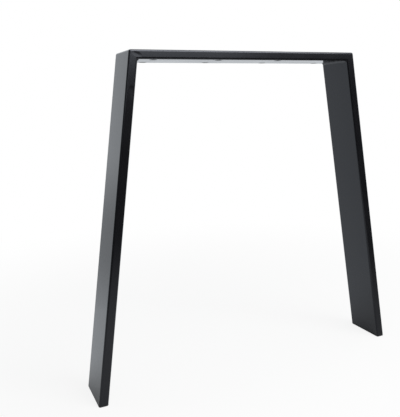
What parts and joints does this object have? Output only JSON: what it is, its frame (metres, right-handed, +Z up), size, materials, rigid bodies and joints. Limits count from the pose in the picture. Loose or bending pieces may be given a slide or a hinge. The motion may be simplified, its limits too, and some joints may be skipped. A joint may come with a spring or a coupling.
{
  "type": "metal table leg frame",
  "caption": "Trapezoid steel table-leg frame of flat rectangular tube, mitred and welded at the top corners, with screw holes in the crossbar and plastic foot plugs.",
  "frame": {"origin": "on the floor, midway between the two feet and midway through the depth of the tube", "axes": "+X along the crossbar towards the right leg, +Y to the back, +Z up to the table top"},
  "size_m": [0.74, 0.1, 0.72],
  "materials": {
    "powder_coated_steel": "satin black powder coat",
    "powder_coated_weld": "satin black powder coat over the weld",
    "foot_plug_plastic": "matt moulded"
  },
  "bodies": {
    "root": {"crossbar_tube": "powder_coated_steel", "left_leg_tube": "powder_coated_steel", "right_leg_tube": "powder_coated_steel", "left_corner_weld": "powder_coated_weld", "right_corner_weld": "powder_coated_weld", "left_foot_plug": "foot_plug_plastic", "right_foot_plug": "foot_plug_plastic"}
  },
  "joints": []
}
